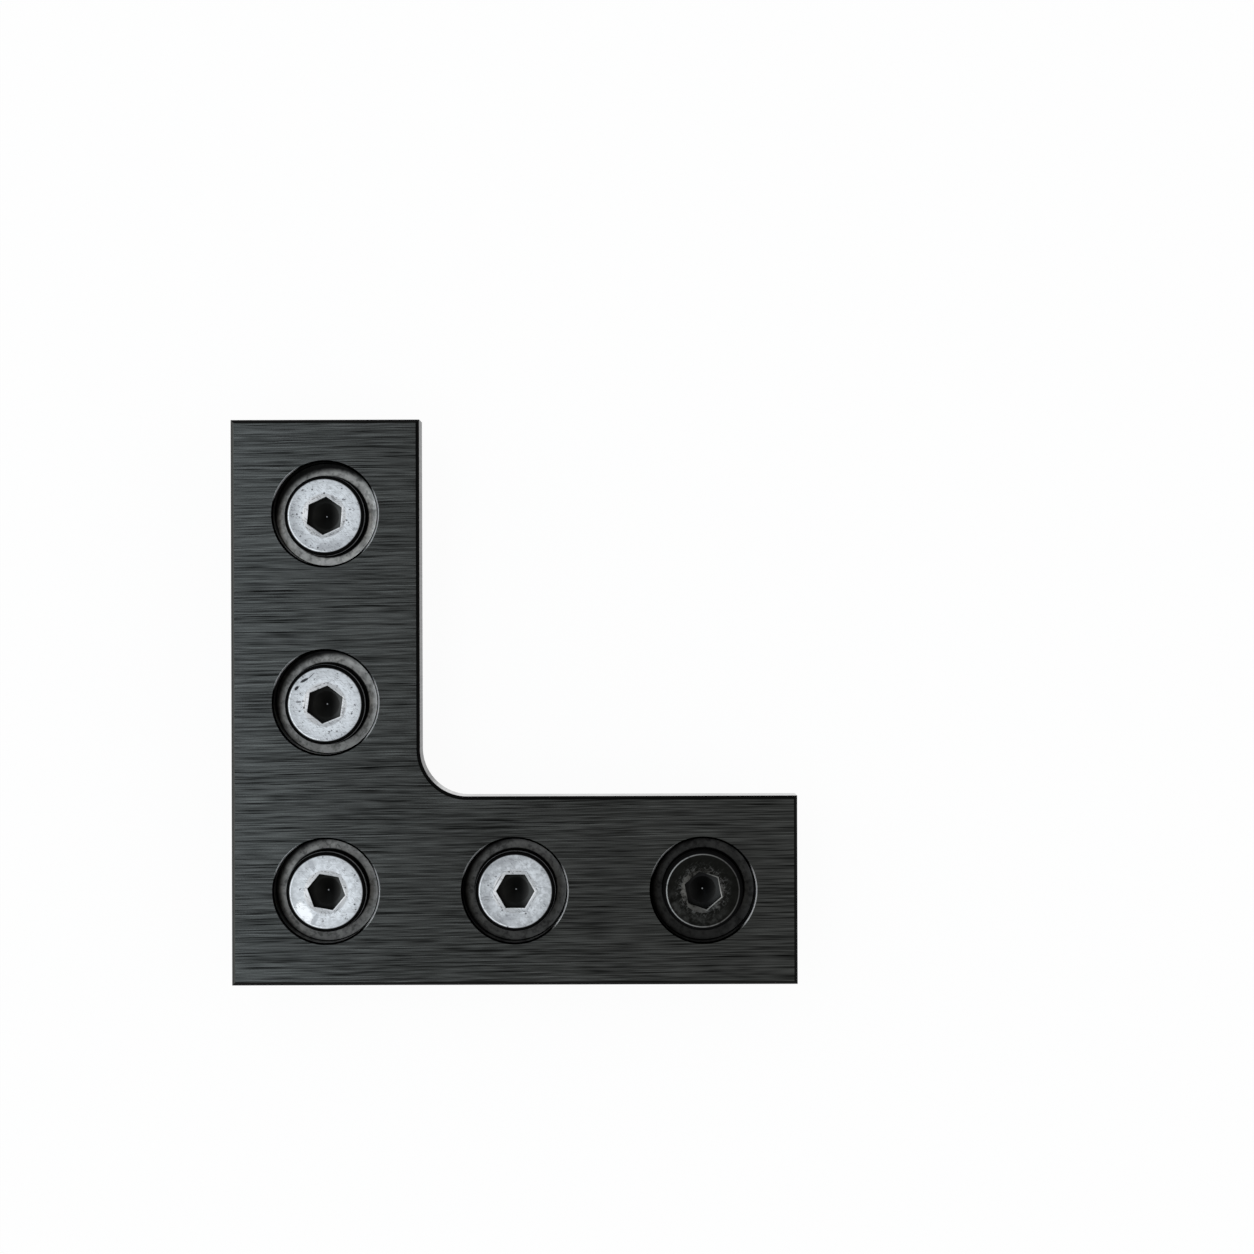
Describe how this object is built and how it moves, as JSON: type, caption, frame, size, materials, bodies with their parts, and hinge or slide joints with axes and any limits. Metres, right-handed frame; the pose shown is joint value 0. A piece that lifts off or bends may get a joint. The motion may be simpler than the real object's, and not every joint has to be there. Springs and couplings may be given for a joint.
{
  "type": "l plate",
  "caption": "Flat L-shaped joining plate of brushed black aluminium with counterbored holes and low-head socket screws, for bolting slotted frame members together at a right angle.",
  "frame": {"origin": "axis of the corner screw at the plate's back face", "axes": "+Z out of the front face, +X along one leg, +Y along the other; the part lies on its screw tips with the front face up"},
  "size_m": [0.06, 0.06, 0.0115],
  "materials": {
    "anodised_plate": "brushed black anodised",
    "zinc": "bright zinc plated",
    "black_oxide": "black oxide, worn at the edges"
  },
  "bodies": {
    "root": {"l_plate": "anodised_plate", "zinc_screws": "zinc", "black_screw": "black_oxide"}
  },
  "joints": []
}
